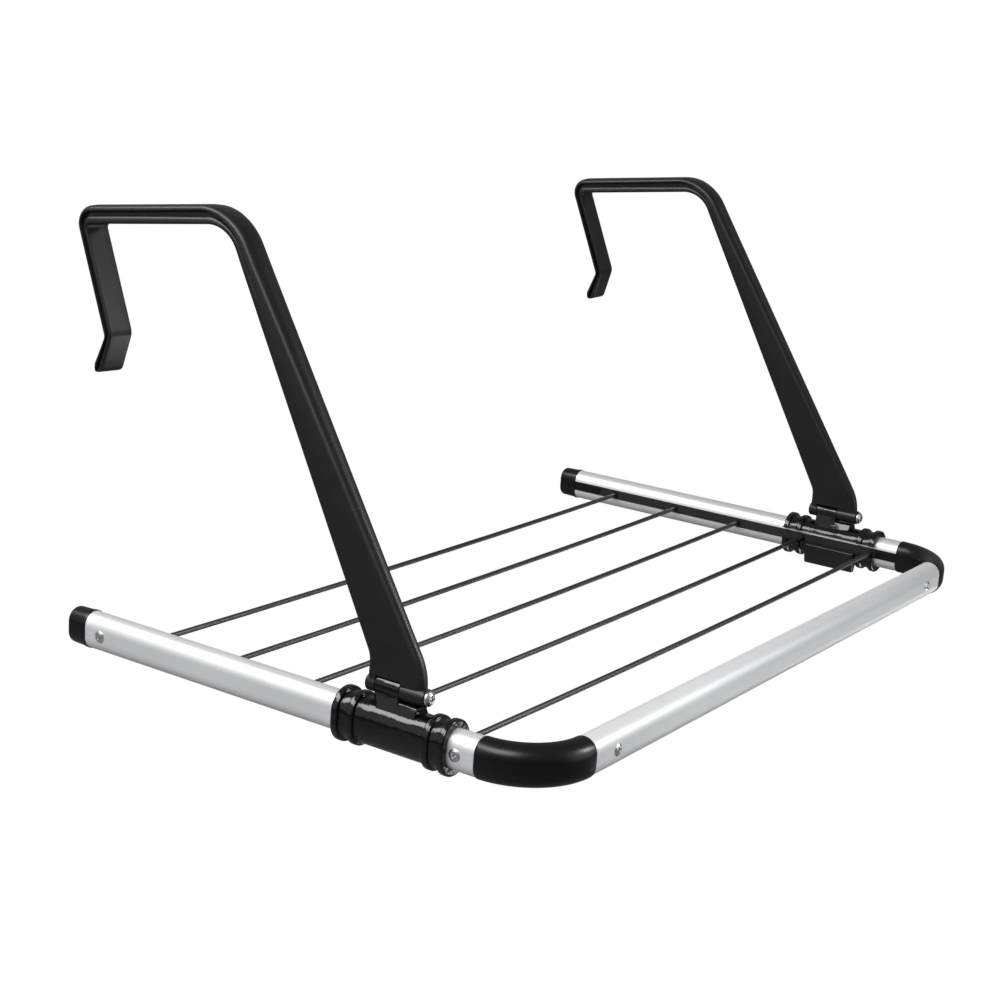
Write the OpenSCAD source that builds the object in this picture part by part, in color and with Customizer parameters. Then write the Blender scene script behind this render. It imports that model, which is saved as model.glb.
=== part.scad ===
// Hanging drying rack: a U-shaped tube frame strung with five drying wires,
// carried by two fold-flat hook arms on sliding collars.
// X runs along the front tube, +Y points from the front tube to the rail it hangs on, +Z is up.
// The origin is where the rack hangs: midway between the two hooks, level with their undersides.

/* [Frame] */
// Distance between the axes of the two side tubes
frame_w = 500; // [420:5:600]
// Length of a side tube
side_tube_len = 261.4; // [240:1:300]
// Width of the oval tube
tube_w = 15; // [14:0.5:18]
// Height of the oval tube
tube_h = 21; // [20:0.5:26]
// Wall of the tube
tube_wall = 1.3; // [1:0.1:1.8]
// Height of the slot along the inner side of each side tube
slot_h = 6.8; // [6:0.1:7.5]
// Bend radius of the corner elbows, at the tube axis
elbow_r = 35; // [30:1:45]
// How far the elbows and end caps stand proud of the tube all round
skin = 0.4; // [0.2:0.1:1]
// Length of the visible part of an end cap
cap_len = 14.5; // [8:0.5:25]

/* [Wires] */
// Number of drying wires
wire_count = 5; // [3:1:5]
// Diameter of a drying wire
wire_d = 3; // [2:0.5:3]
// From the front tube's axis to the first wire
wire_first = 53.5; // [52:0.5:56]
// Distance from wire to wire
wire_pitch = 51.7; // [40:0.1:52]
// How far a wire sags at mid span
wire_sag = 1.6; // [0.5:0.1:4]

/* [Collars] */
// From the front tube's axis to the middle of a collar
collar_y = 85; // [85:1:100]
// Length of a collar over its end flanges
collar_len = 69; // [60:1:70]
// Play between a collar and its tube
collar_play = 0.3; // [0.2:0.05:0.5]
// Wall of the collar's body over the play
collar_wall = 1.5; // [1.2:0.1:2]
// Height of the hinge axis above the tube axis
hinge_z = 20.5; // [20:0.5:24]
// Radius of the hinge barrel
barrel_r = 4.6; // [4:0.1:4.8]
// Radius of the hinge pin
pin_r = 1.5; // [1.2:0.1:1.8]

/* [Hook arms] */
// Angle by which each upright arm leans towards the other
lean = 2; // [0:0.1:4]
// Thickness of the hook, across the plane it is bent in; the arm tapers to its foot
arm_t = 16; // [12:0.5:17]
// Thickness of an arm's foot, across the same plane
foot_t = 7.8; // [7:0.1:9]
// Height of the outer corner of the front bend above the hinge axis
bend_h = 222; // [180:0.1:240]
// Distance from the front bend to the rear bend, corner to corner
reach = 112; // [90:0.1:140]
// Angle at which the top of the hook falls towards the rear
fall = 6.5; // [0:0.5:10]
// Depth of the top of the hook
run_d = 10; // [8:0.5:12]
// Depth of the leg behind the rail
leg_d = 7; // [5:0.1:8]
// Angle of that leg from the vertical
leg_lean = 22; // [10:1:25]

/* [Hidden] */
$fn = 64;
SIDES = [["_left", -1], ["_right", 1]];

// Colours
aluminium = [0.80, 0.81, 0.83];
matte_black = [0.13, 0.13, 0.14];
gloss_black = [0.06, 0.06, 0.07];
wire_grey = [0.36, 0.37, 0.38];
steel = [0.70, 0.70, 0.72];

// Frame, measured from the front tube's axis
tube_y0 = elbow_r;
tube_y1 = elbow_r + side_tube_len;
front_x = frame_w / 2 - elbow_r;
cavity_w = tube_w - 2 * tube_wall;
cavity_h = tube_h - 2 * tube_wall;
spigot_gap = 0.15;
spigot_bore_w = 6.5;
spigot_side_len = 14.6;
spigot_front_len = 27;
plug_len = 22;
key_h = slot_h - 0.4;
strip_y0 = tube_y0 + spigot_side_len + 0.4;
strip_y1 = tube_y1 - plug_len - 0.4;

// Strip and ferrules, as distances inward from the side tube's axis
strip_back = 4.9;
strip_flange = 5.85;
strip_face = tube_w / 2 - 0.3;
strip_flange_h = 9.6;
ferrule_len = 5;
ferrule_r = 2.7;
ferrule_in = strip_back - 0.2;
wire_end = ferrule_in - ferrule_len + 1;

// Rivets: side tubes, from the front tube's axis; front tube, from its middle
rivet_side_y = [46, tube_y1 - 11.3];
rivet_front_x = 195.3;
rivet_r = 1.6;
rivet_head_r = 3.3;
rivet_head_h = 1;
rivet_dimple_r = 1.1;

// Collar: how far each step of its outline stands off the tube, and where it starts
body_off = collar_play + collar_wall;
neck_off = body_off + 0.4;
bead_off = body_off + 1.9;
flange_off = body_off + 2.2;
flange_w = 4;
neck_w = 5.4;
bead_w = 4;
mouth_z = [-2.2, 5.2];

// Hinge, along the collar from its middle
barrel_y = [-16.4, 19.6];
knuckle_y = [-1.4, 13.3];
knuckle_gap = 0.4;
pin_play = 0.05;
saddle_y = [-13, 11];
saddle_top = hinge_z - barrel_r - 0.5;
foot_clear = 5;
stop_h = 4.75;
pin_head_r = 3.9;
pin_head_h = 2.4;
nut_af = 5.5;
nut_h = 2.4;

// Lock plate and its screws
plate_y = [-20.9, 15.6];
plate_z = [-16.2, -2.4];
plate_face = tube_w / 2 + body_off + 3.8;
lock_screw_y = [-12.9, 0.6];
lock_screw_z = -5.6;
lock_screw_r = 1.7;
lock_screw_u = [tube_w / 2 - 0.1, plate_face - 1.4];

// Hook arm outline: [along Y from the collar's middle, height above the hinge axis]
foot_y = [-14.8, 18.5];
full_h = 195;
front_slope = 0.65;
back_slope = 0.533;
front_foot_h = 12.4;
back_foot_h = 14.5;
bend_y = foot_y[0] + front_slope * (bend_h - front_foot_h);
rear_y = bend_y + reach;
function top_h(y) = bend_h - tan(fall) * (y - bend_y);
function under_h(y) = top_h(y) - run_d / cos(fall);
function front_y(h) = foot_y[0] + front_slope * (h - front_foot_h);
function back_y(h) = foot_y[1] + back_slope * (h - back_foot_h);
// The underside meets the back edge of the arm
under_0 = under_h(0);
bend_in_h = (under_0 - tan(fall) * (foot_y[1] - back_slope * back_foot_h)) / (1 + tan(fall) * back_slope);
bend_in = [back_y(bend_in_h), bend_in_h];
rear_out = [rear_y, top_h(rear_y)];
leg_len = 71.7;
kink_out = rear_out - leg_len * [sin(leg_lean), cos(leg_lean)];
leg_across = leg_d * [cos(leg_lean), -sin(leg_lean)];
kink_in = kink_out - leg_across;
rear_in_y = (kink_in[0] + tan(leg_lean) * (under_0 - kink_in[1])) / (1 + tan(leg_lean) * tan(fall));
rear_in = [rear_in_y, under_h(rear_in_y)];
tip_r = 3.8;
tip_lean = 20;
tip_len = 17.5;
tip_end = (kink_out + kink_in) / 2 + tip_len * [sin(tip_lean), -cos(tip_lean)];
tip_across = tip_r * [cos(tip_lean), sin(tip_lean)];
tip_on = tip_r * [sin(tip_lean), -cos(tip_lean)];
// Each corner of the outline with its radius
ARM_CORNERS = [
    [[foot_y[0], 0], 0], [[foot_y[0], front_foot_h], 30], [[bend_y, bend_h], 34], [rear_out, 10],
    [kink_out, 3], [tip_end + tip_across + tip_on, tip_r - 0.4], [tip_end - tip_across + tip_on, tip_r - 0.4],
    [kink_in, 8], [rear_in, 2], [bend_in, 20], [[foot_y[1], back_foot_h], 12], [[foot_y[1], 0], 0]
];
// Channel sunk into both faces of the hook, from the front bend to the open end at the tip
rib = 3.1;
leg_rib = 1.7;
channel_depth = 2.8;
channel_tail = bend_h - 21;
run_on = [cos(fall), -sin(fall)];
run_in = [-sin(fall), -cos(fall)];
leg_on = [sin(leg_lean), cos(leg_lean)];
leg_in = [-cos(leg_lean), sin(leg_lean)];
tip_half = unit(tip_across) * (tip_r - leg_rib);
tip_past = tip_end + 2 * tip_on;
out_run = [bend_y, bend_h] + rib * run_in;
in_run = rear_in - rib * run_in;
out_leg = rear_out + leg_rib * leg_in;
in_leg = rear_in - leg_rib * leg_in;
function meet(p, u, q, v) =
    p + u * ((q[0] - p[0]) * v[1] - (q[1] - p[1]) * v[0]) / (u[0] * v[1] - u[1] * v[0]);
CHANNEL_CORNERS = [
    [[front_y(channel_tail) + rib + 1.2, channel_tail], 0.5],
    [[bend_y + rib * 1.6, top_h(bend_y) - rib * 1.25], 31],
    [meet(out_run, run_on, out_leg, leg_on), 8],
    [meet(out_leg, leg_on, tip_end + tip_half, tip_on), 3],
    [tip_past + tip_half, 0],
    [tip_past - tip_half, 0],
    [meet(in_leg, leg_on, tip_end - tip_half, tip_on), 6],
    [meet(in_run, run_on, in_leg, leg_on), 3],
    [[bend_in[0] - rib * 0.5, bend_in[1] + rib * 0.85], 23],
    [[back_y(channel_tail) - rib - 0.6, channel_tail], 0.5]
];

// Where the rack hangs: the middle of the hooks' undersides
seat_hook_y = (bend_in[0] + rear_in[0]) / 2;
seat_y = collar_y + seat_hook_y;
seat_z = hinge_z + under_h(seat_hook_y) * cos(lean);

// Points of an outline whose corners are rounded to their radii
function unit(v) = v / norm(v);
function rounded_corner(a, b, c, r, steps) =
    let (u = unit(a - b), v = unit(c - b))
    let (half = acos(u * v) / 2, cut = r / tan(half), mid = b + unit(u + v) * r / sin(half))
    let (p = b + u * cut - mid, q = b + v * cut - mid, turn = p[0] * q[1] - p[1] * q[0] > 0 ? 1 : -1)
    let (sweep = 180 - 2 * half)
    [for (i = [0:steps]) let (t = turn * sweep * i / steps)
        mid + [p[0] * cos(t) - p[1] * sin(t), p[0] * sin(t) + p[1] * cos(t)]];
function rounded(corners) =
    let (n = len(corners))
    [for (i = [0:n - 1])
        let (a = corners[(i + n - 1) % n][0], b = corners[i][0], c = corners[(i + 1) % n][0])
        let (r = corners[i][1], turn = 180 - acos(unit(a - b) * unit(c - b)))
        each (r == 0 ? [b] : rounded_corner(a, b, c, r, max(2, ceil(turn / 6))))];

// From the frame's own axes to the hanging point, with the right-hand side mirrored from the left
module placed(side = -1) {
    translate([0, -seat_y, -seat_z])
        if (side > 0) mirror([1, 0, 0]) children();
        else children();
}

// On the left side tube: the children's X is 0 on the tube's axis and grows inward
module on_side_tube(side) placed(side) translate([-frame_w / 2, 0, 0]) children();

// At the middle of a collar, on the tube's axis
module on_collar(side) on_side_tube(side) translate([0, collar_y, 0]) children();

// In the plane of an arm: the children's XY is the arm's YZ
module on_arm(side) on_collar(side) translate([0, 0, hinge_z]) rotate([0, lean, 0]) children();

module along_y(y0, y1) translate([0, y1, 0]) rotate([90, 0, 0]) linear_extrude(y1 - y0) children();
module along_x(x0, x1) translate([x0, 0, 0]) rotate([90, 0, 90]) linear_extrude(x1 - x0) children();
module rod_y(r, y0, y1) translate([0, y1, 0]) rotate([90, 0, 0]) cylinder(r = r, h = y1 - y0);
module rod_x(r, x0, x1) translate([x0, 0, 0]) rotate([0, 90, 0]) cylinder(r = r, h = x1 - x0);

// Oval tube outline, standing off the tube by a distance all round
module oval(w, h) {
    square([w, h - w], center = true);
    for (s = [-1, 1]) translate([0, s * (h - w) / 2]) circle(d = w);
}
module tube_oval(off = 0) oval(tube_w + 2 * off, tube_h + 2 * off);
module cavity_oval(off = 0) oval(cavity_w + 2 * off, cavity_h + 2 * off);
module spigot_oval() difference() {
    cavity_oval(-spigot_gap);
    oval(spigot_bore_w, spigot_bore_w + tube_h - tube_w);
}

module side_tube(side) color(aluminium) on_side_tube(side) difference() {
    along_y(tube_y0, tube_y1) difference() {
        tube_oval();
        cavity_oval();
        translate([tube_w / 4, -slot_h / 2]) square([tube_w, slot_h]);
    }
    for (y = rivet_side_y) translate([0, y, 0]) rod_x(rivet_r + 0.05, -tube_w, 0);
}

module front_tube() color(aluminium) placed() difference() {
    along_x(-front_x, front_x) difference() {
        tube_oval();
        cavity_oval();
    }
    for (s = [-1, 1]) translate([s * rivet_front_x, 0, 0]) rod_y(rivet_r + 0.05, -tube_w, 0);
}

// Quarter bend with a hollow spigot into each tube; a key on the side spigot fills the slot's end
module corner_elbow(side) color(matte_black) on_side_tube(side) difference() {
    union() {
        translate([elbow_r, elbow_r, 0]) rotate([0, 0, 180]) rotate_extrude(angle = 90)
            translate([elbow_r, 0]) difference() {
                tube_oval(skin);
                oval(spigot_bore_w, spigot_bore_w + tube_h - tube_w);
            }
        along_y(tube_y0, tube_y0 + spigot_side_len) spigot_oval();
        along_x(elbow_r, elbow_r + spigot_front_len) spigot_oval();
        translate([cavity_w / 2 - 1, tube_y0, -key_h / 2])
            cube([tube_w / 2 - 0.3 - cavity_w / 2 + 1, spigot_side_len, key_h]);
    }
    translate([0, rivet_side_y[0], 0]) rod_x(rivet_r + 0.05, -tube_w, 0);
    translate([frame_w / 2 - rivet_front_x, 0, 0]) rod_y(rivet_r + 0.05, -tube_w, 0);
}

module end_cap(side) color(matte_black) on_side_tube(side) difference() {
    union() {
        along_y(tube_y1, tube_y1 + cap_len - 2) tube_oval(skin);
        along_y(tube_y1 + cap_len - 2, tube_y1 + cap_len) tube_oval(skin - 0.9);
        along_y(tube_y1 - plug_len, tube_y1) spigot_oval();
        translate([cavity_w / 2 - 1, tube_y1 - plug_len, -key_h / 2])
            cube([tube_w / 2 - 0.3 - cavity_w / 2 + 1, plug_len, key_h]);
    }
    translate([0, rivet_side_y[1], 0]) rod_x(rivet_r + 0.05, -tube_w, 0);
}

// T-shaped strip that closes the slot and spaces the wires
module slot_strip(side) color(matte_black) on_side_tube(side) difference() {
    along_y(strip_y0, strip_y1) {
        translate([strip_back, -strip_flange_h / 2]) square([strip_flange - strip_back, strip_flange_h]);
        translate([strip_back, -key_h / 2]) square([strip_face - strip_back, key_h]);
    }
    for (i = [0:wire_count - 1])
        translate([0, wire_first + i * wire_pitch, 0]) rod_x(wire_d / 2 + 0.25, 0, tube_w);
}

// One wire from ferrule to ferrule, an arc with the wire's sag
module drying_wire(n) color(wire_grey) placed() {
    half = frame_w / 2 - wire_end;
    arc_r = (half * half + wire_sag * wire_sag) / (2 * wire_sag);
    sweep = 2 * asin(half / arc_r);
    translate([0, wire_first + (n - 1) * wire_pitch, arc_r - wire_sag])
        rotate([90, 0, 0]) rotate([0, 0, 270 - sweep / 2])
            rotate_extrude(angle = sweep, $fn = 7200) translate([arc_r, 0]) circle(d = wire_d, $fn = 32);
}

module wire_ferrules(side) color(steel) on_side_tube(side)
    for (i = [0:wire_count - 1]) translate([0, wire_first + i * wire_pitch, 0]) difference() {
        rod_x(ferrule_r, ferrule_in - ferrule_len, ferrule_in);
        rod_x(wire_d / 2 + 0.05, wire_end - 0.1, tube_w);
    }

// Blind rivet along X: domed head outside, shank, and its swelling behind the wall
module rivet() {
    difference() {
        intersection() {
            rod_x(rivet_head_r, -rivet_head_h, 0);
            translate([6.5, 0, 0]) sphere(r = 7.5);
        }
        rod_x(rivet_dimple_r, -2 * rivet_head_h, -0.3);
    }
    rod_x(rivet_r, -0.2, tube_wall + 3);
    rod_x(rivet_r + 0.5, tube_wall + 3, tube_wall + 4.2);
}

module rivets_side(side) color(steel) on_side_tube(side)
    for (y = rivet_side_y) translate([-tube_w / 2, y, 0]) rivet();

module rivets_front() color(steel) placed()
    for (s = [-1, 1]) translate([s * rivet_front_x, -tube_w / 2, 0]) rotate([0, 0, 90]) rivet();

module collar_step(y0, y1, off) {
    along_y(y0, y1) tube_oval(off);
    along_y(-y1, -y0) tube_oval(off);
}

// C-shaped sleeve with two end flanges and a bead by each, open inward so that it clears the wires
module sliding_collar(side) color(gloss_black) on_collar(side) {
    end = collar_len / 2;
    bead_end = end - flange_w - neck_w;
    difference() {
        union() {
            along_y(-end, end) tube_oval(body_off);
            collar_step(end - flange_w, end, flange_off);
            collar_step(bead_end, end - flange_w, neck_off);
            collar_step(bead_end - bead_w, bead_end, bead_off);
            along_y(saddle_y[0], saddle_y[1])
                polygon([[-6.4, 10], [6.4, 10], [3.7, saddle_top], [-3.7, saddle_top]]);
            along_y(knuckle_y[0], knuckle_y[1])
                polygon([[-5.2, 10], [5.2, 10], [3.6, hinge_z], [-3.6, hinge_z]]);
            translate([0, 0, hinge_z]) rod_y(barrel_r, knuckle_y[0], knuckle_y[1]);
            translate([-barrel_r, knuckle_y[0], hinge_z])
                cube([barrel_r, knuckle_y[1] - knuckle_y[0], stop_h]);
        }
        along_y(-collar_len, collar_len) tube_oval(collar_play);
        translate([tube_w / 4, -collar_len, mouth_z[0]])
            cube([tube_w, 2 * collar_len, mouth_z[1] - mouth_z[0]]);
        translate([0, 0, hinge_z]) rod_y(pin_r + pin_play, -collar_len, collar_len);
        for (y = lock_screw_y) translate([0, y, lock_screw_z]) rod_x(lock_screw_r + 0.1, 0, tube_w);
    }
}

// Plate on the collar's inner lower side, with a lip below it
module lock_plate(side) color(gloss_black) on_collar(side) difference() {
    along_y(plate_y[0], plate_y[1]) difference() {
        polygon([
            [tube_w / 2 - 2, plate_z[1]], [plate_face, plate_z[1]], [plate_face, -8.5],
            [plate_face - 1.9, plate_z[0]], [plate_face - 5.4, plate_z[0]], [tube_w / 2 - 2, -10]
        ]);
        tube_oval(body_off);
    }
    for (y = lock_screw_y) translate([0, y, lock_screw_z]) rod_x(lock_screw_r + 0.1, 0, 2 * tube_w);
}

// Two socket screws sunk in the plate, their tips just off the tube
module lock_screws(side) color(steel) on_collar(side)
    for (y = lock_screw_y) translate([0, y, lock_screw_z]) difference() {
        rod_x(lock_screw_r, lock_screw_u[0], lock_screw_u[1]);
        translate([lock_screw_u[1] - 1.5, 0, 0]) rotate([0, 90, 0]) cylinder(r = 0.95, h = 3, $fn = 6);
    }

// Pocket for the hinge nut, in the rear knuckle's end
module nut_shape(grow, y0, y1) translate([0, y1, 0]) rotate([90, 0, 0])
    cylinder(d = nut_af / cos(30) + grow, h = y1 - y0, $fn = 6);

module hook_arm(side) color(matte_black) on_arm(side) difference() {
    union() {
        intersection() {
            along_x(-arm_t / 2, arm_t / 2) polygon(rounded(ARM_CORNERS));
            along_y(-collar_len, reach + bend_y) polygon([
                [-foot_t / 2, 0], [-foot_t / 2, 8], [-arm_t / 2, full_h], [-arm_t / 2, bend_h + run_d],
                [arm_t / 2, bend_h + run_d], [arm_t / 2, full_h], [foot_t / 2, 8], [foot_t / 2, 0]
            ]);
        }
        rod_y(barrel_r, barrel_y[0], barrel_y[1]);
    }
    // Room for the collar's knuckle, and the bore for the pin
    translate([-arm_t, knuckle_y[0] - knuckle_gap, -arm_t])
        cube([2 * arm_t, knuckle_y[1] - knuckle_y[0] + 2 * knuckle_gap, arm_t + foot_clear]);
    rod_y(pin_r + pin_play, -collar_len, collar_len);
    nut_shape(0.2, barrel_y[1] - nut_h - 0.4, barrel_y[1] + 1);
    for (s = [-1, 1]) translate([s * (arm_t / 2 + 1 - channel_depth / 2), 0, 0])
        along_x(-1 - channel_depth / 2, 1 + channel_depth / 2) polygon(rounded(CHANNEL_CORNERS));
}

// Hinge screw with a cross recess, and its nut
module hinge_pin(side) color(steel) on_arm(side) difference() {
    union() {
        rod_y(pin_r, barrel_y[0] - 0.5, barrel_y[1] - 0.3);
        rod_y(pin_head_r, barrel_y[0] - pin_head_h, barrel_y[0] - 0.05);
    }
    for (a = [0, 90]) translate([0, barrel_y[0] - pin_head_h, 0]) rotate([0, a, 0])
        cube([4.4, 2.2, 1], center = true);
}

module hinge_nut(side) color(steel) on_arm(side) difference() {
    nut_shape(0, barrel_y[1] - nut_h - 0.3, barrel_y[1] - 0.3);
    rod_y(pin_r + 0.03, 0, collar_len);
}

front_tube();
side_tube(-1);  // side_tube_left
side_tube(1);  // side_tube_right
corner_elbow(-1);  // corner_elbow_left
corner_elbow(1);  // corner_elbow_right
end_cap(-1);  // end_cap_left
end_cap(1);  // end_cap_right
slot_strip(-1);  // slot_strip_left
slot_strip(1);  // slot_strip_right
drying_wire(1);  // drying_wire_1
drying_wire(2);  // drying_wire_2
drying_wire(3);  // drying_wire_3
drying_wire(4);  // drying_wire_4
drying_wire(5);  // drying_wire_5
wire_ferrules(-1);  // wire_ferrules_left
wire_ferrules(1);  // wire_ferrules_right
rivets_front();
rivets_side(-1);  // rivets_left
rivets_side(1);  // rivets_right
sliding_collar(-1);  // sliding_collar_left
sliding_collar(1);  // sliding_collar_right
lock_plate(-1);  // lock_plate_left
lock_plate(1);  // lock_plate_right
lock_screws(-1);  // lock_screws_left
lock_screws(1);  // lock_screws_right
hook_arm(-1);  // hook_arm_left
hook_arm(1);  // hook_arm_right
hinge_pin(-1);  // hinge_pin_left
hinge_pin(1);  // hinge_pin_right
hinge_nut(-1);  // hinge_nut_left
hinge_nut(1);  // hinge_nut_right
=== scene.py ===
"""Looks for the hanging drying rack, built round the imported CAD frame.

Each new piece is modelled in millimetres in a local frame of its own, then placed from the CAD
nodes' boxes. The camera, the lights and the finished meshes are in metres.
"""
import math

import bmesh
import bpy
from mathutils import Matrix, Vector

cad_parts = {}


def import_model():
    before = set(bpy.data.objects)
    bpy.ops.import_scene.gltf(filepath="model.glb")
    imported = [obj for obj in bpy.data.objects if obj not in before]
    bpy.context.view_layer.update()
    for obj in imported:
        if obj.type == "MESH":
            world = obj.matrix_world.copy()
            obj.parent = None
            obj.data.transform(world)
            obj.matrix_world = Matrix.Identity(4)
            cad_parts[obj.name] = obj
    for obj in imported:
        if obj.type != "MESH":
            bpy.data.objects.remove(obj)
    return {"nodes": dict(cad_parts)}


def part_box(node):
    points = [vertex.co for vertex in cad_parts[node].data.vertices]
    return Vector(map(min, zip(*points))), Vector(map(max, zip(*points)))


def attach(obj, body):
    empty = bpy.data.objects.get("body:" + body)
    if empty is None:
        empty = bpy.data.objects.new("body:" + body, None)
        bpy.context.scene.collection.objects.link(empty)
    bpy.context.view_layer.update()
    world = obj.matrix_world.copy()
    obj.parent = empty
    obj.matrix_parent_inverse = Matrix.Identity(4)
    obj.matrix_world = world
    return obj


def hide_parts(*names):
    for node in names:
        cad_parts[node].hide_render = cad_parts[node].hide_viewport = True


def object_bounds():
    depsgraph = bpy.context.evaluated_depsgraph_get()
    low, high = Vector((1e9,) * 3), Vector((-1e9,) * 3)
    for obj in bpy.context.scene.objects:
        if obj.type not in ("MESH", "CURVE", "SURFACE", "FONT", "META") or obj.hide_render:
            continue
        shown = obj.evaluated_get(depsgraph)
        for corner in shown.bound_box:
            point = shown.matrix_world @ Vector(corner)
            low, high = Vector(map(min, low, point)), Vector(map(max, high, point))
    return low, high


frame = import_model()
cad_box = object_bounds()
nodes = frame["nodes"]
SIDES = ((-1, "left"), (1, "right"))
MM = 0.001


# ---------------------------------------------------------------- camera
def camera(place, azimuth, elevation, roll, lens):
    """A camera at place that looks along the given angles, in degrees."""
    a, e, r = (math.radians(v) for v in (azimuth, elevation, roll))
    back = Vector((math.sin(a) * math.cos(e), -math.cos(a) * math.cos(e), math.sin(e)))
    right = Vector((0, 0, 1)).cross(back).normalized()
    up = back.cross(right)
    x = right * math.cos(r) + up * math.sin(r)
    y = up * math.cos(r) - right * math.sin(r)
    data = bpy.data.cameras.new("camera")
    data.lens, data.sensor_width = lens, 36
    data.clip_start, data.clip_end = 0.05, 60
    cam = bpy.data.objects.new("camera", data)
    cam.matrix_world = Matrix((x, y, back)).transposed().to_4x4()
    cam.location = place
    bpy.context.collection.objects.link(cam)
    bpy.context.scene.camera = cam


camera(place=(-0.94264, -0.68513, 0.11324), azimuth=-56.2728, elevation=14.3606, roll=4.0453,
       lens=67.480)


# ---------------------------------------------------------------- materials
class Paint:
    """A node material with a few shorthands for procedural detail in object space."""

    def __init__(self, name, **sockets):
        self.m = bpy.data.materials.new(name)
        self.m.use_nodes = True
        self.t = self.m.node_tree
        self.bsdf = self.t.nodes["Principled BSDF"]
        for k, v in sockets.items():
            self.bsdf.inputs[k.replace("_", " ")].default_value = v
        self.co = self.t.nodes.new("ShaderNodeTexCoord").outputs["Object"]
        self.height = None

    def noise(self, scale, stretch=(1, 1, 1), detail=3, rough=0.5):
        mp = self.t.nodes.new("ShaderNodeMapping")
        mp.inputs["Scale"].default_value = stretch
        self.t.links.new(self.co, mp.inputs["Vector"])
        n = self.t.nodes.new("ShaderNodeTexNoise")
        n.inputs["Scale"].default_value = scale
        n.inputs["Detail"].default_value = detail
        n.inputs["Roughness"].default_value = rough
        self.t.links.new(mp.outputs[0], n.inputs["Vector"])
        return n.outputs["Fac"]

    def colour(self, fac, low, high):
        """Base colour from low to high as the noise goes from 0.3 to 0.7."""
        r = self.t.nodes.new("ShaderNodeValToRGB")
        r.color_ramp.elements[0].position, r.color_ramp.elements[1].position = 0.3, 0.7
        r.color_ramp.elements[0].color = (*low, 1)
        r.color_ramp.elements[1].color = (*high, 1)
        self.t.links.new(fac, r.inputs["Fac"])
        self.t.links.new(r.outputs["Color"], self.bsdf.inputs["Base Color"])

    def rough(self, fac, low, high):
        """Roughness from low to high as the noise goes from 0.3 to 0.7."""
        r = self.t.nodes.new("ShaderNodeMapRange")
        r.inputs["From Min"].default_value, r.inputs["From Max"].default_value = 0.3, 0.7
        r.inputs["To Min"].default_value, r.inputs["To Max"].default_value = low, high
        self.t.links.new(fac, r.inputs["Value"])
        self.t.links.new(r.outputs[0], self.bsdf.inputs["Roughness"])

    def bump(self, fac, distance, strength=1.0):
        """Adds relief of that depth, in metres, on top of any before it."""
        b = self.t.nodes.new("ShaderNodeBump")
        b.inputs["Strength"].default_value = strength
        b.inputs["Distance"].default_value = distance
        self.t.links.new(fac, b.inputs["Height"])
        if self.height:
            self.t.links.new(self.height, b.inputs["Normal"])
        self.height = b.outputs[0]
        self.t.links.new(self.height, self.bsdf.inputs["Normal"])


def anodised(name, along, metallic=0.6, rough=(0.34, 0.42)):
    """Satin extruded aluminium, with its die lines running along the tube's axis."""
    p = Paint(name, Metallic=metallic)
    stretch = [1.0, 1.0, 1.0]
    stretch[along] = 0.02
    p.colour(p.noise(14, detail=4), (0.80, 0.81, 0.83), (0.87, 0.88, 0.90))
    p.rough(p.noise(60, stretch, 3), *rough)
    p.bump(p.noise(900, stretch, 4, 0.6), 0.00004, 0.5)
    p.bump(p.noise(5000, detail=2), 0.00001, 0.4)
    return p.m


def moulded(name, low, high, rough, grain, depth, specular=0.5, wave=0):
    """Moulded plastic: a fine grain, uneven sheen, and a slow waviness where it is glossy."""
    p = Paint(name, Specular_IOR_Level=specular)
    p.colour(p.noise(35, detail=5, rough=0.6), low, high)
    p.rough(p.noise(22, detail=4), *rough)
    if wave:
        p.bump(p.noise(110, (1, 0.6, 1), 3), wave)
    p.bump(p.noise(grain, detail=3, rough=0.6), depth, 0.6)
    return p.m


def steel(name, low, high, rough, stretch=(1, 1, 1)):
    """Bare or coated steel with faint drawn marks."""
    p = Paint(name, Metallic=1.0)
    p.colour(p.noise(160, stretch, 4), low, high)
    p.rough(p.noise(300, stretch, 3), *rough)
    p.bump(p.noise(1200, stretch, 3), 0.000006, 0.5)
    return p.m


LOOK = {
    "alu_x": anodised("anodised_front", 0, metallic=0.4, rough=(0.46, 0.54)),
    "alu_y": anodised("anodised_side", 1),
    "arm": moulded("arm_black", (0.0045, 0.0047, 0.0053), (0.0075, 0.0078, 0.0085),
                   rough=(0.35, 0.42), grain=1100, depth=0.000008, specular=0.42),
    "matte": moulded("matte_black", (0.002, 0.002, 0.0021), (0.0035, 0.0035, 0.0037),
                     rough=(0.28, 0.36), grain=1100, depth=0.00001, specular=0.35),
    "gloss": moulded("gloss_black", (0.002, 0.002, 0.0025), (0.004, 0.004, 0.0045),
                     rough=(0.10, 0.16), grain=900, depth=0.00001, wave=0.0006),
    "strip": moulded("strip_black", (0.006, 0.006, 0.007), (0.010, 0.010, 0.011),
                     rough=(0.45, 0.6), grain=1800, depth=0.00004),
    "wire": steel("wire_grey", (0.09, 0.09, 0.095), (0.14, 0.14, 0.145), (0.42, 0.52),
                  stretch=(0.05, 1, 1)),
    "steel": steel("rivet_steel", (0.55, 0.55, 0.56), (0.70, 0.70, 0.71), (0.25, 0.36)),
    "plate": moulded("plate_black", (0.006, 0.006, 0.007), (0.010, 0.010, 0.011),
                     rough=(0.22, 0.30), grain=900, depth=0.00002),
    # Lock screws: their near-black colour is painted shade, standing in for the shadow inside
    # the plate's holes they sit in
    "dark": steel("screw_steel_painted_shade", (0.03, 0.03, 0.032), (0.05, 0.05, 0.052), (0.35, 0.45)),
    "screw": steel("screw_steel", (0.60, 0.60, 0.61), (0.75, 0.75, 0.76), (0.26, 0.36)),
}
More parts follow.
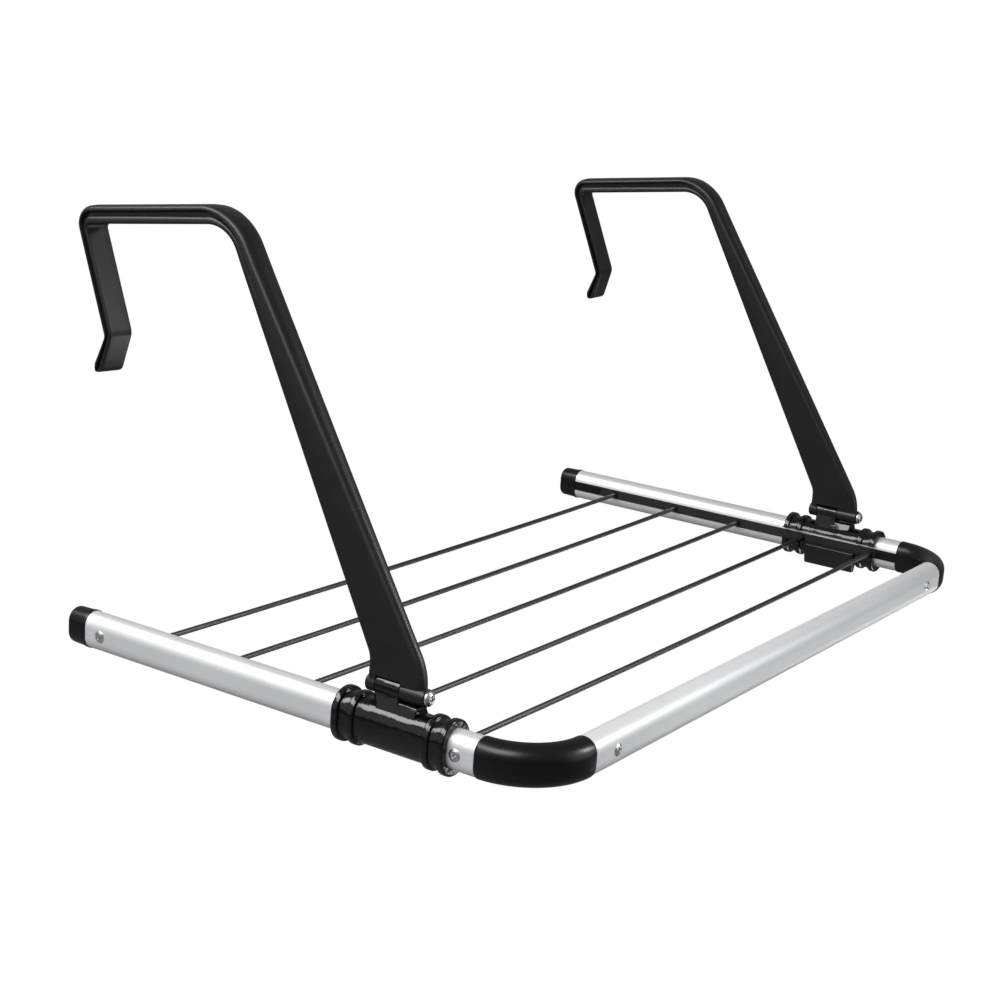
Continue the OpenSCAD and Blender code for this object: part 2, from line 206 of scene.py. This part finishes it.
# The CAD nodes' looks, by how their names start
PREFIX_LOOKS = (
    ("front_tube", "alu_x"), ("side_tube", "alu_y"), ("corner_elbow", "matte"),
    ("end_cap", "matte"), ("slot_strip", "strip"), ("drying_wire", "wire"),
    ("wire_ferrules", "steel"), ("rivets", "steel"), ("sliding_collar", "gloss"),
    ("lock_plate", "plate"), ("lock_screws", "dark"), ("hook_arm", "arm"),
    ("hinge_pin", "screw"), ("hinge_nut", "screw"),
)


def dress(obj, look):
    obj.data.materials.clear()
    obj.data.materials.append(LOOK[look])


for name, obj in nodes.items():
    dress(obj, next(look for prefix, look in PREFIX_LOOKS if name.startswith(prefix)))


# ---------------------------------------------------------------- places
def middle(node):
    lo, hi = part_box(node)
    return (lo + hi) / 2 / MM


HALF_W = middle("end_cap_right").x
AXIS_Z = middle("side_tube_right").z
FRONT_Y = middle("front_tube").y
COLLAR_Y = middle("sliding_collar_right").y - FRONT_Y
HINGE_Z = middle("hinge_pin_right").z - AXIS_Z
TUBE_Y1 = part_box("side_tube_right")[1].y / MM - FRONT_Y


def from_frame(side):
    """From mm inward of the side tube's axis, behind the front tube's, and above both."""
    return lambda p: (side * (HALF_W - p[0]) * MM, (FRONT_Y + p[1]) * MM, (AXIS_Z + p[2]) * MM)


def from_collar(side):
    """The same, but behind the collar's middle."""
    place = from_frame(side)
    return lambda p: place((p[0], p[1] + COLLAR_Y, p[2]))


def from_arm(side):
    """From mm inward, behind and above the hinge's middle, in the arm's own leaning frame."""
    place = from_collar(side)
    c, s = math.cos(LEAN), math.sin(LEAN)
    return lambda p: place((p[0] * c + p[2] * s, p[1], HINGE_Z - p[0] * s + p[2] * c))


# ---------------------------------------------------------------- sizes in mm
LEAN = math.radians(2)               # each upright arm's lean towards the other
TUBE_R, TUBE_FLAT = 7.5, 3.0         # the oval tube's end radius and half its straight side
SKIN = 0.4                           # elbows and caps stand this far proud of the tube
SPIGOT, SPIGOT_END = -1.45, -1.9     # spigots and plugs inside the tube, and their chamfer
KEY_X, KEY_Z = (4, 7.2), (-3.2, 3.2)  # rib on a spigot that fills the side tube's slot
ELBOW_R = 35.0
BARREL_R, BORE_R = 4.6, 1.55         # hinge barrel and the bore through it
BARREL_Z = 20.5                      # hinge axis above the tube's axis
KNUCKLE_Y = (-1.4, 13.3)             # the collar's middle knuckle along the hinge
PLATE_HOLE_YS, PLATE_HOLE_Z, PLATE_HOLE_R = (-12.9, 0.6), -5.6, 1.8
THROUGH = 50                         # half length of a cutter that goes right through
FOOT_T, ARM_T = 7.8, 16              # an arm's thickness at its foot and at its hook
TIP_R = 3.8
CHANNEL = 2.3                        # depth of the channel round the hook


# ---------------------------------------------------------------- mesh shorthands
def lerp(a, b, t):
    return a + (b - a) * t


def clamp(t):
    return max(0.0, min(1.0, t))


def smooth(t):
    t = clamp(t)
    return t * t * (3 - 2 * t)


def quarter(n):
    """Sines and cosines from 0 to 90 degrees in n steps."""
    return [(math.sin(math.pi / 2 * k / n), math.cos(math.pi / 2 * k / n)) for k in range(n + 1)]


def arc(a, b, c, r, n):
    """Points that round the corner b of the path a, b, c to radius r."""
    a, b, c = Vector(a), Vector(b), Vector(c)
    u, v = (a - b).normalized(), (c - b).normalized()
    half = u.angle(v) / 2
    mid = b + (u + v).normalized() * (r / math.sin(half))
    p, q = b + u * (r / math.tan(half)) - mid, b + v * (r / math.tan(half)) - mid
    sweep = (math.pi - 2 * half) * (1 if p.x * q.y - p.y * q.x > 0 else -1)
    return [tuple(mid + Matrix.Rotation(sweep * k / n, 2) @ p) for k in range(n + 1)]


def eased(corners, n=4):
    """Points of a path (a, b, radius): each corner is rounded to its radius."""
    out = []
    for k, (a, b, r) in enumerate(corners):
        out += arc(corners[k - 1][:2], (a, b), corners[k + 1][:2], r, n) if r else [(a, b)]
    return out


def along(corners, counts):
    """Points along a rounded path, and for each how many straights and arcs lie behind it."""
    bends = [arc(corners[i - 1][:2], corners[i][:2], corners[i + 1][:2], corners[i][2],
                 counts[2 * i - 1]) for i in range(1, len(corners) - 1)]
    points, start = [], corners[0][:2]
    for i in range(len(corners) - 1):
        stop = bends[i][0] if i < len(bends) else corners[-1][:2]
        k = counts[2 * i]
        points += [((lerp(start[0], stop[0], j / k), lerp(start[1], stop[1], j / k)),
                    2 * i + j / k) for j in range(k)]
        if i < len(bends):
            k = counts[2 * i + 1]
            points += [(bends[i][j], 2 * i + 1 + j / k) for j in range(k)]
            start = bends[i][-1]
    return points + [(corners[-1][:2], 2 * len(corners) - 3)]


def stadium(off, y, n=20):
    """Section of the tube's oval, standing off it, in the plane at y."""
    r = TUBE_R + off
    loop = []
    for mid, start in ((TUBE_FLAT, 0), (-TUBE_FLAT, math.pi)):
        turns = [start + math.pi * k / n for k in range(n + 1)]
        loop += [(r * math.cos(a), y, mid + r * math.sin(a)) for a in turns]

    def between(a, b):
        return [tuple(p + (q - p) * k / 3 for p, q in zip(a, b)) for k in (1, 2)]

    half = len(loop) // 2
    first, second = loop[:half], loop[half:]
    return first + between(first[-1], second[0]) + second + between(second[-1], first[0])


def solid(verts, faces):
    mesh = bpy.data.meshes.new("piece")
    mesh.from_pydata([tuple(v) for v in verts], [], faces)
    bm = bmesh.new()
    bm.from_mesh(mesh)
    bmesh.ops.recalc_face_normals(bm, faces=bm.faces)
    bm.to_mesh(mesh)
    bm.free()
    obj = bpy.data.objects.new("piece", mesh)
    bpy.context.collection.objects.link(obj)
    return obj


def loft(loops):
    """Closed skin over a row of loops of equal length, with a flat face at each end."""
    n, m = len(loops[0]), len(loops)
    faces = [(a * n + b, a * n + (b + 1) % n, (a + 1) * n + (b + 1) % n, (a + 1) * n + b)
             for a in range(m - 1) for b in range(n)]
    faces += [tuple(range(n))[::-1], tuple((m - 1) * n + k for k in range(n))]
    return solid([p for loop in loops for p in loop], faces)


def lathe(profile, z=0.0, n=40):
    """Closed solid of revolution about a line along Y; the profile is (y, r), axis to axis."""
    verts, rings = [], []
    for y, r in profile:
        if r < 1e-6:
            rings.append([len(verts)] * n)
            verts.append((0.0, y, z))
        else:
            rings.append(list(range(len(verts), len(verts) + n)))
            turns = [2 * math.pi * k / n for k in range(n)]
            verts += [(r * math.cos(a), y, z + r * math.sin(a)) for a in turns]
    faces = []
    for a, b in zip(rings, rings[1:]):
        for k in range(n):
            quad = (a[k], a[(k + 1) % n], b[(k + 1) % n], b[k])
            faces.append(tuple(dict.fromkeys(quad)))
    return solid(verts, faces)


def rod(y0, y1, r, z=0.0, n=24):
    """Plain round cutter along Y."""
    return lathe([(y0, 0), (y0, r), (y1, r), (y1, 0)], z, n)


def prism(outline, y0, y1, bevel=0.0):
    """An (x, z) outline pushed from y0 to y1, its edges rounded by the bevel."""
    n = len(outline)
    sides = [(k, (k + 1) % n, n + (k + 1) % n, n + k) for k in range(n)]
    obj = solid([(x, y, z) for y in (y0, y1) for x, z in outline],
                [tuple(range(n)), tuple(range(n, 2 * n))[::-1]] + sides)
    if bevel:
        bm = bmesh.new()
        bm.from_mesh(obj.data)
        bmesh.ops.bevel(bm, geom=bm.edges[:], offset=bevel, segments=3, profile=0.5,
                        affect="EDGES", clamp_overlap=True)
        bmesh.ops.recalc_face_normals(bm, faces=bm.faces)
        bm.to_mesh(obj.data)
        bm.free()
    return obj


def block(x, y, z, bevel=0.0):
    return prism([(x[0], z[0]), (x[1], z[0]), (x[1], z[1]), (x[0], z[1])], y[0], y[1], bevel)


def turned(obj, spin):
    """The same mesh with its points moved by a function."""
    for v in obj.data.vertices:
        v.co = spin(v.co)
    return obj


def settle(obj):
    """Applies the object's modifiers to its mesh."""
    old = obj.data
    seen = obj.evaluated_get(bpy.context.evaluated_depsgraph_get())
    obj.data = bpy.data.meshes.new_from_object(seen)
    obj.modifiers.clear()
    bpy.data.meshes.remove(old)


def combine(base, others, operation):
    for other in others:
        m = base.modifiers.new("with", "BOOLEAN")
        m.operation, m.solver, m.object = operation, "EXACT", other
        settle(base)
        bpy.data.objects.remove(other)
    return base


def finish_piece(name, obj, place, look, body, nodes_replaced, sharp=35):
    """Puts a piece in its place in metres, dresses it, and ties it to its body and CAD nodes."""
    obj.name = obj.data.name = name
    bm = bmesh.new()
    bm.from_mesh(obj.data)
    for v in bm.verts:
        v.co = place(v.co)
    bmesh.ops.remove_doubles(bm, verts=bm.verts, dist=2e-7)
    bmesh.ops.dissolve_degenerate(bm, dist=1e-7, edges=bm.edges)
    bmesh.ops.recalc_face_normals(bm, faces=bm.faces)
    bm.to_mesh(obj.data)
    bm.free()
    obj.data.shade_smooth()
    obj.data.set_sharp_from_angle(angle=math.radians(sharp))
    dress(obj, look)
    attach(obj, body)
    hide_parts(*nodes_replaced)
    return obj


# ---------------------------------------------------------------- hook arms
def arm_outline():
    """Outer and inner edge of an arm from foot to tip, as (y, height, corner radius).

    The tip's middle comes with them, and its two half axes: across the arm and on beyond it."""
    tan, cos, sin = (lambda a, f=f: f(math.radians(a)) for f in (math.tan, math.cos, math.sin))
    bend_h, reach, run_d, fall = 222, 112, 10, 6.5     # the run over the rail; fall in degrees
    leg_len, leg_d, lean_back = 71.7, 7, 22            # the leg behind the rail
    tip_len, kick = 17.5, 20                           # the tip, kicked out from the rail
    foot = ((-14.8, 12.4, 0.65), (18.5, 14.5, 0.533))  # edges' foot: y, height, slope above it
    bend_y = foot[0][0] + foot[0][2] * (bend_h - foot[0][1])
    under = bend_h + tan(fall) * bend_y - run_d / cos(fall)
    y, h, slope = foot[1]
    bend_in_h = (under - tan(fall) * (y - slope * h)) / (1 + tan(fall) * slope)
    bend_in = (y + slope * (bend_in_h - h), bend_in_h)
    rear = (bend_y + reach, bend_h - tan(fall) * reach)
    kink = Vector(rear) - leg_len * Vector((sin(lean_back), cos(lean_back)))
    kink_in = kink - leg_d * Vector((cos(lean_back), -sin(lean_back)))
    rear_in_y = ((kink_in.x + tan(lean_back) * (under - kink_in.y))
                 / (1 + tan(lean_back) * tan(fall)))
    rear_in = (rear_in_y, under - tan(fall) * rear_in_y)
    end = (kink + kink_in) / 2 + tip_len * Vector((sin(kick), -cos(kick)))
    across = TIP_R * Vector((cos(kick), sin(kick)))
    on = TIP_R * Vector((sin(kick), -cos(kick)))
    outer = [(foot[0][0], 0, 0), (*foot[0][:2], 30), (bend_y, bend_h, 34), (*rear, 10),
             (*kink, 3), (*(end + across), 0)]
    inner = [(foot[1][0], 0, 0), (*foot[1][:2], 12), (*bend_in, 20), (*rear_in, 2),
             (*kink_in, 8), (*(end - across), 0)]
    return outer, inner, end, across, on


def arm_section(o, i, s, t):
    """Closed loop across the arm, as (depth from the outer edge o, offset sideways).

    i is the inner edge, t the thickness, and s the count of straights and arcs since the foot.
    The blade has a broad soft outer edge. From the top bend on, at s = 3, the outer edge turns
    into a flange with a channel behind it and a rounded lip at the inner edge."""
    w, b = math.dist(o, i), t / 2
    bend, leg = smooth(s - 3), smooth(s - 5)
    rx = min(b - 0.3, lerp(b - 0.5, 3.0, bend))
    ru = min(lerp(3.9, 2.9, bend), w * 0.4)
    ri = min(lerp(1.8, 1.0, bend), b - 0.3, w * 0.3)
    crown = 0.3 * bend
    flange = max(lerp(lerp(w * 0.6, 3.1, bend), 1.9, leg), ru * 0.75)
    rim = lerp(lerp(2.6, 1.6, bend), 1.4, leg)
    deep = CHANNEL * smooth((s - 2.85) / 0.9)
    u0, u1 = ru, w - ri
    r0 = max(u0 + 0.02, min(flange, w - rim - 0.2))
    r1 = min(max(r0 + 0.1, w - rim), u1 - 0.02)
    edge = min(0.9, (r1 - r0) * 0.3)
    lip = min(lerp(2.0, 2.8, bend), (r1 - r0) * 0.55)
    thinner = 0.55 * (1 - bend)

    def flank(u):
        return b - thinner * smooth(1 - (u - u0) / (0.45 * w))

    loop = [(crown * (k / 4) ** 2, (b - rx) * k / 4) for k in range(4)]
    loop += [(crown + (ru - crown) * (1 - c), (b - rx) + (flank(u0) - b + rx) * sn)
             for sn, c in quarter(8)]
    loop += [(u, flank(u)) for u in (lerp(u0, r0, 0.5), r0)]
    loop += [(r0 + edge * k / 4, flank(r0) - deep * smooth(k / 4)) for k in (1, 2, 3, 4)]
    loop += [((r0 + r1) / 2, b - deep)]
    loop += [(r1 - lip * sn, b - deep * (1 - c)) for sn, c in quarter(4)[:0:-1]]
    loop += [(r1, b), (lerp(r1, u1, 0.5), b)]
    loop += [(w - ri + ri * sn, b - ri + ri * c) for sn, c in quarter(5)]
    loop += [(w, (b - ri) * 2 / 3), (w, (b - ri) / 3), (w, 0.0)]
    return loop + [(u, -x) for u, x in reversed(loop[1:-1])]


def hook_arm(side, word):
    outer, inner, end, across, on = arm_outline()
    counts = (3, 8, 18, 20, 10, 9, 9, 6, 3)
    taper_from, taper_over = 8, 187
    stations = []
    for (o, s), (i, _) in zip(along(outer, counts), along(inner, counts)):
        grown = clamp(((o[1] + i[1]) / 2 - taper_from) / taper_over)
        stations.append((o, i, s, lerp(FOOT_T, ARM_T, grown) if s < 3 else ARM_T))
    for sn, c in quarter(6)[1:-1]:
        stations.append((tuple(end + across * c + on * sn), tuple(end - across * c + on * sn),
                         9, ARM_T))
    loops = []
    for o, i, s, t in stations:
        dy, dh = ((q - p) / math.dist(o, i) for p, q in zip(o, i))
        loops.append([(x, o[0] + dy * u, o[1] + dh * u) for u, x in arm_section(o, i, s, t)])
    arm = loft(loops)
    head_end = eased([(-16.4, 0, 0), (-16.4, BARREL_R, 0.9), (-1.2, BARREL_R, 0), (-1.2, 0, 0)])
    nut_end = eased([(13.1, 0, 0), (13.1, BARREL_R, 0), (19.6, BARREL_R, 0.9), (19.6, 0, 0)])
    combine(arm, [lathe(head_end), lathe(nut_end)], "UNION")
    knuckle_gap = block((-16, 16), (-1.8, 13.7), (-16, 5))
    nut_pocket = rod(16.8, 25, 3.28, n=6)
    combine(arm, [knuckle_gap, rod(-30, 30, BORE_R), nut_pocket], "DIFFERENCE")
    finish_piece("arm_shell_" + word, arm, from_arm(side), "arm", "arm_" + word,
                 ["hook_arm_" + word], 32)


# ---------------------------------------------------------------- collars, plates and screws
def plate_holes(depth):
    """Cutters for the two lock screws, pointing inward from the tube's axis."""
    return [turned(rod(0, depth, PLATE_HOLE_R),
                   lambda p, y=y: Vector((p.y, p.x + y, p.z + PLATE_HOLE_Z)))
            for y in PLATE_HOLE_YS]


def sliding_collar(side, word):
    # Half of the sleeve's profile from its end inwards: two rings with a groove between them
    half = [(34.5, 4.0, 0.9), (30.5, 4.0, 0.9), (30.5, 2.2, 0.5), (25.1, 2.2, 0.5),
            (25.1, 3.7, 0.9), (21.1, 3.7, 0.9), (21.1, 1.8, 0.5)]
    other = [(-y, off, r) for y, off, r in reversed(half)]
    path = eased([(34.5, 2.6, 0), *half, (8, 1.8, 0), (-8, 1.8, 0), *other, (-34.5, 2.6, 0)])
    collar = loft([stadium(off, y) for y, off in path])
    saddle = prism([(-6.4, 10), (6.4, 10), (3.7, 15.4), (-3.7, 15.4)], -13, 11, 0.8)
    y0, y1 = KNUCKLE_Y
    knuckle = prism([(-5.2, 10), (5.2, 10), (3.6, BARREL_Z), (-3.6, BARREL_Z)], y0, y1, 0.3)
    barrel = lathe(eased([(y0, 0, 0), (y0, BARREL_R, 0.35), (y1, BARREL_R, 0.35), (y1, 0, 0)]),
                   z=BARREL_Z)
    stop = prism([(0, 20), (0, 25.25), (-1.6, 25.25), (-2.9, 24.7), (-3.9, 23.5), (-4.5, 22),
                  (-4.6, 20)], y0, y1, 0.25)
    combine(collar, [saddle, knuckle, barrel, stop], "UNION")
    tube_bore = loft([stadium(0.3, -THROUGH), stadium(0.3, THROUGH)])
    wire_slot = block((3.75, 20), (-THROUGH, THROUGH), (-2.2, 5.2))
    hinge_bore = rod(-THROUGH, THROUGH, BORE_R, z=BARREL_Z)
    combine(collar, [tube_bore, wire_slot, hinge_bore] + plate_holes(15), "DIFFERENCE")
    finish_piece("collar_shell_" + word, collar, from_collar(side), "gloss", "collar_" + word,
                 ["sliding_collar_" + word])

    plate = prism([(5.5, -2.4), (13.1, -2.4), (13.1, -8.5), (11.2, -16.2), (7.7, -16.2),
                   (5.5, -10)], -20.9, 15.6, 0.7)
    sleeve = loft([stadium(1.8, -THROUGH), stadium(1.8, THROUGH)])
    combine(plate, [sleeve] + plate_holes(20), "DIFFERENCE")
    finish_piece("plate_" + word, plate, from_collar(side), "plate", "collar_" + word,
                 ["lock_plate_" + word])


def hinge_screw(side, word):
    shank = [(19.3, 0, 0), (19.3, 1.5, 0), (-16.45, 1.5, 0)]
    head = [(-16.45, 3.9, 0.3), (-17.5, 3.9, 0.5), (-18.8, 2.4, 0.8), (-18.8, 0, 0)]
    pin = lathe(eased(shank + head, 4), n=48)
    arm, web, depth = (-2.2, 2.2), (-0.5, 0.5), (-19.9, -17.7)
    combine(pin, [block(arm, depth, web), block(web, depth, arm)], "DIFFERENCE")
    finish_piece("hinge_screw_" + word, pin, from_arm(side), "screw", "arm_" + word,
                 ["hinge_pin_" + word])


# ---------------------------------------------------------------- frame ends
def elbow(side, word):
    # How far along an end and how far off the tube the elbow's rounded lip runs
    lips = [(0.0, -0.25), (0.15, 0.12), (0.5, 0.36), (1.1, SKIN)]
    length = ELBOW_R * math.pi / 2
    steps = [length * k / 26 for k in range(1, 26)]
    places = lips + [(s, SKIN) for s in steps if 1.5 < s < length - 1.5]
    places += [(length - s, off) for s, off in reversed(lips)]
    loops = []
    for s, off in places:
        c, n = math.cos(s / ELBOW_R), math.sin(s / ELBOW_R)
        loops.append([(ELBOW_R - (ELBOW_R - x) * c, ELBOW_R - (ELBOW_R - x) * n, z)
                      for x, _, z in stadium(off, 0)])
    bend = loft(loops)
    into_side = loft([stadium(SPIGOT, 34.5), stadium(SPIGOT, 49.2), stadium(SPIGOT_END, 49.6)])
    into_front = loft([stadium(SPIGOT, 34.5), stadium(SPIGOT, 61.6), stadium(SPIGOT_END, 62)])
    spigots = [into_side, turned(into_front, lambda p: Vector((p.y, p.x, p.z))),
               block(KEY_X, (34.5, 49.6), KEY_Z, 0.2)]
    combine(bend, spigots, "UNION")
    finish_piece("elbow_" + word, bend, from_frame(side), "matte", "frame",
                 ["corner_elbow_" + word])


def end_cap(side, word):
    y0, y1 = TUBE_Y1, TUBE_Y1 + 14.5
    path = eased([(y0, -1.0, 0), (y0, SKIN, 0.4), (y0 + 2.2, SKIN, 0.3), (y0 + 2.5, 0.12, 0.2),
                  (y1, -0.25, 2.4), (y1, -4.2, 0)], 6)
    cap = loft([stadium(off, y) for y, off in path])
    plug = [loft([stadium(SPIGOT_END, y0 - 22), stadium(SPIGOT, y0 - 21.6),
                  stadium(SPIGOT, y0 + 1)]),
            block(KEY_X, (y0 - 22, y0 + 1), KEY_Z, 0.2)]
    combine(cap, plug, "UNION")
    finish_piece("cap_" + word, cap, from_frame(side), "matte", "frame", ["end_cap_" + word])


# Profile of a blind rivet: shank and swelling, domed head, and the broken mandrel in its hole
RIVET = eased([(5.5, 0, 0), (5.5, 2.0, 0.2), (4.35, 2.1, 0.1), (4.2, 1.6, 0.1), (0, 1.6, 0),
               (0, 3.3, 0), (-0.25, 3.3, 0.12), (-0.9, 2.1, 0.7), (-0.82, 1.25, 0.12),
               (0.9, 1.05, 0.1), (0.9, 0.75, 0.05), (0.15, 0.6, 0.15), (0.1, 0, 0)])


def rivets():
    """Two blind rivets in each side tube, and two in the front tube."""
    for side, word in SIDES:
        ys = (46.0, TUBE_Y1 - 11.3)
        pair = [turned(lathe(RIVET), lambda p, y=y: Vector((p.y - TUBE_R, y + p.x, p.z)))
                for y in ys]
        finish_piece("rivet_pair_" + word, combine(pair[0], pair[1:], "UNION"),
                     from_frame(side), "steel", "frame", ["rivets_" + word], 50)
    xs = (HALF_W + 195.3, HALF_W - 195.3)
    pair = [turned(lathe(RIVET), lambda p, x=x: Vector((x + p.x, p.y - TUBE_R, p.z)))
            for x in xs]
    finish_piece("rivet_pair_front", combine(pair[0], pair[1:], "UNION"), from_frame(1), "steel",
                 "frame", ["rivets_front"], 50)


for side, word in SIDES:
    hook_arm(side, word)
    sliding_collar(side, word)
    hinge_screw(side, word)
    elbow(side, word)
    end_cap(side, word)
rivets()


# ---------------------------------------------------------------- stage and light
def split_by_camera_ray(tree, other, seen, surface):
    """The camera sees one shader, and every other ray meets the other one."""
    path = tree.nodes.new("ShaderNodeLightPath")
    mix = tree.nodes.new("ShaderNodeMixShader")
    tree.links.new(path.outputs["Is Camera Ray"], mix.inputs[0])
    tree.links.new(other.outputs[0], mix.inputs[1])
    tree.links.new(seen.outputs[0], mix.inputs[2])
    tree.links.new(mix.outputs[0], surface)


def stage(drop, grey):
    """A floor that looks white and lights the object from below as the given grey does."""
    mesh = bpy.data.meshes.new("floor")
    half, z = 12.0, cad_box[0].z - drop
    corners = [(-half, -half, z), (half, -half, z), (half, half, z), (-half, half, z)]
    mesh.from_pydata(corners, [], [(0, 1, 2, 3)])
    floor = bpy.data.objects.new("floor", mesh)
    bpy.context.collection.objects.link(floor)
    m = bpy.data.materials.new("pale_floor")
    m.use_nodes = True
    t = m.node_tree
    bsdf = t.nodes["Principled BSDF"]
    bsdf.inputs["Base Color"].default_value = (grey, grey, grey, 1)
    bsdf.inputs["Roughness"].default_value = 0.9
    glow = t.nodes.new("ShaderNodeEmission")
    glow.inputs["Color"].default_value = (1, 1, 1, 1)
    split_by_camera_ray(t, bsdf, glow, t.nodes["Material Output"].inputs["Surface"])
    mesh.materials.append(m)


def world(camera_level, light_level):
    w = bpy.data.worlds.new("studio")
    w.use_nodes = True
    t = w.node_tree
    seen = t.nodes["Background"]
    seen.inputs["Color"].default_value = (1, 1, 1, 1)
    seen.inputs["Strength"].default_value = camera_level
    lit = t.nodes.new("ShaderNodeBackground")
    lit.inputs["Color"].default_value = (0.97, 0.98, 1.0, 1)
    lit.inputs["Strength"].default_value = light_level
    split_by_camera_ray(t, lit, seen, t.nodes["World Output"].inputs["Surface"])
    bpy.context.scene.world = w


def lamp(data, place, aim):
    light = bpy.data.objects.new(data.name, data)
    light.location = place
    light.rotation_mode = "QUATERNION"
    light.rotation_quaternion = (Vector(aim) - Vector(place)).to_track_quat("-Z", "Y")
    light.visible_camera = False
    bpy.context.collection.objects.link(light)


def softbox(name, place, aim, size, watts):
    data = bpy.data.lights.new(name, "AREA")
    data.shape, data.size, data.size_y, data.energy = "RECTANGLE", *size, watts
    lamp(data, place, aim)


def spot(name, place, aim, angle, watts):
    data = bpy.data.lights.new(name, "SPOT")
    data.spot_size, data.spot_blend = math.radians(angle), 1.0
    data.shadow_soft_size, data.energy = 0.18, watts
    lamp(data, place, aim)


stage(drop=0.55, grey=0.24)
world(camera_level=1.0, light_level=0.24)
AIM = (0, -0.05, -0.15)
softbox("key_left", (-1.6, -0.1, 1.3), AIM, (1.4, 0.9), 36)
softbox("card_left", (-1.9, 1.0, 0.3), AIM, (1.6, 1.2), 2.2)
softbox("top_back", (-0.95, 0.95, 1.1), AIM, (1.1, 0.6), 18)
softbox("front_right", (0.35, -1.25, -0.05), (-0.1, -0.25, -0.1), (0.8, 0.8), 2.3)
spot("hooks_front", (0.85, -0.95, 0.62), (-0.02, 0.05, 0.02), 30, 4)
spot("hooks_low", (0.75, -0.7, -0.72), (0.0, 0.03, -0.04), 36, 14)
spot("near_corner", (0.66, -1.3, 0.42), (-0.25, -0.26, -0.22), 24, 42)
bpy.context.scene.view_settings.view_transform = "Standard"
